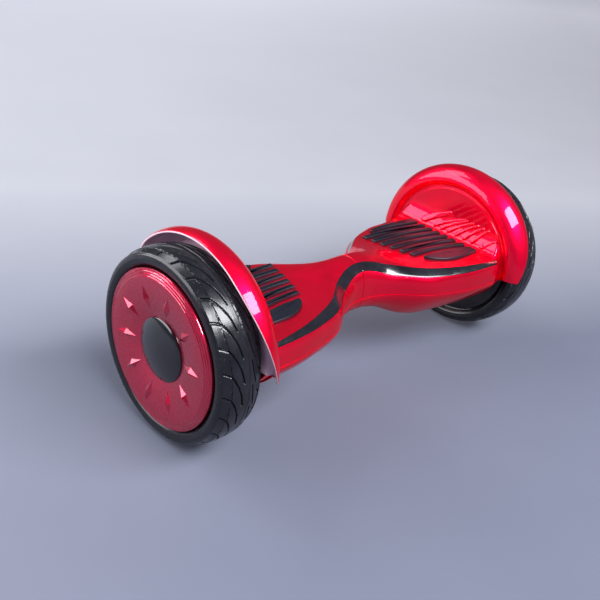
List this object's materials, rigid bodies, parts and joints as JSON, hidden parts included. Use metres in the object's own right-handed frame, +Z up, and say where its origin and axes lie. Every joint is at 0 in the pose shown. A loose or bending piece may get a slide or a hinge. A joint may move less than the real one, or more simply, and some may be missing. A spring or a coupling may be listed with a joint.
{
  "type": "self balancing hoverboard",
  "caption": "Two wheeled self balancing hoverboard with ribbed foot pads, arched fenders and a twisting waist joint.",
  "frame": {"origin": "on the floor, midway between the wheels, under the waist seam", "axes": "+X along the wheel axles to the right half, -Y towards the front, +Z up"},
  "size_m": [0.674, 0.2856, 0.2758],
  "materials": {
    "red_paint": "high gloss metallic red lacquer over moulded plastic",
    "red_satin": "satin dark metallic red",
    "gloss_black": "high gloss black",
    "pad_rubber": "matte blue black rubber",
    "tyre_rubber": "moulded tyre rubber, slightly satin",
    "soft_rubber": "soft matte rubber",
    "cast_alloy": "cast, lightly machined",
    "steel": "turned",
    "copper_winding": "enamelled copper winding",
    "circuit_board": "solder mask green",
    "black_plastic": "fine moulded texture",
    "battery_wrap": "shrink wrap film",
    "nylon": "natural nylon"
  },
  "bodies": {
    "left_half": {"left_top_shell": "red_paint", "left_bottom_shell": "red_paint", "left_fender": "red_paint", "left_rear_trim": "gloss_black", "left_front_trim": "gloss_black", "left_frame": "cast_alloy", "left_axle_clamp": "cast_alloy", "left_sensor_board": "circuit_board", "left_axle": "steel", "left_stator": "copper_winding", "pivot_tube": "steel", "lock_ring": "steel", "battery_pack": "battery_wrap", "button_bezel": "black_plastic", "battery_lead": "soft_rubber", "left_motor_cable": "soft_rubber"},
    "right_half": {"right_top_shell": "red_paint", "right_bottom_shell": "red_paint", "right_fender": "red_paint", "right_rear_trim": "gloss_black", "right_front_trim": "gloss_black", "right_frame": "cast_alloy", "right_axle_clamp": "cast_alloy", "right_sensor_board": "circuit_board", "right_axle": "steel", "right_stator": "copper_winding", "inner_bushing": "nylon", "outer_bushing": "nylon", "control_board": "circuit_board", "heat_sink": "cast_alloy", "charge_socket": "black_plastic", "right_motor_cable": "soft_rubber"},
    "left_wheel": {"left_tyre": "tyre_rubber", "left_inner_tube": "soft_rubber", "left_rim": "cast_alloy", "left_magnet_ring": "steel", "left_hub_cover": "red_satin", "left_centre_cap": "gloss_black", "left_inner_cover": "cast_alloy", "left_outer_bearing": "steel", "left_inner_bearing": "steel"},
    "right_wheel": {"right_tyre": "tyre_rubber", "right_inner_tube": "soft_rubber", "right_rim": "cast_alloy", "right_magnet_ring": "steel", "right_hub_cover": "red_satin", "right_centre_cap": "gloss_black", "right_inner_cover": "cast_alloy", "right_outer_bearing": "steel", "right_inner_bearing": "steel"},
    "left_pad": {"left_foot_pad": "pad_rubber"},
    "right_pad": {"right_foot_pad": "pad_rubber"},
    "power_button": {"power_button": "black_plastic"},
    "socket_cover": {"charge_socket_cover": "soft_rubber"}
  },
  "joints": [
    {"name": "twist", "type": "hinge", "parent": "left_half", "child": "right_half", "pos_m": [0, 0, 0.141], "axis": [1, 0, 0], "range_deg": [-12, 12]},
    {"name": "left_wheel_spin", "type": "hinge", "parent": "left_half", "child": "left_wheel", "pos_m": [-0.29975, 0, 0.13], "axis": [1, 0, 0], "continuous": true},
    {"name": "right_wheel_spin", "type": "hinge", "parent": "right_half", "child": "right_wheel", "pos_m": [0.29975, 0, 0.13], "axis": [1, 0, 0], "continuous": true},
    {"name": "left_pad_press", "type": "slide", "parent": "left_half", "child": "left_pad", "axis": [0, 0, -1], "range_m": [0, 0.002], "stiffness_N_per_m": 8000, "springref_m": -0.001},
    {"name": "right_pad_press", "type": "slide", "parent": "right_half", "child": "right_pad", "axis": [0, 0, -1], "range_m": [0, 0.002], "stiffness_N_per_m": 8000, "springref_m": -0.001},
    {"name": "power_button_press", "type": "slide", "parent": "left_half", "child": "power_button", "axis": [0, 0, 1], "range_m": [0, 0.0012], "stiffness_N_per_m": 600, "springref_m": -0.001},
    {"name": "socket_cover_hinge", "type": "hinge", "parent": "right_half", "child": "socket_cover", "pos_m": [0.152, 0.0365, 0.0701], "axis": [1, 0, 0], "range_deg": [0, 110], "stiffness_Nm_per_rad": 0.002, "springref_deg": -22.92}
  ]
}
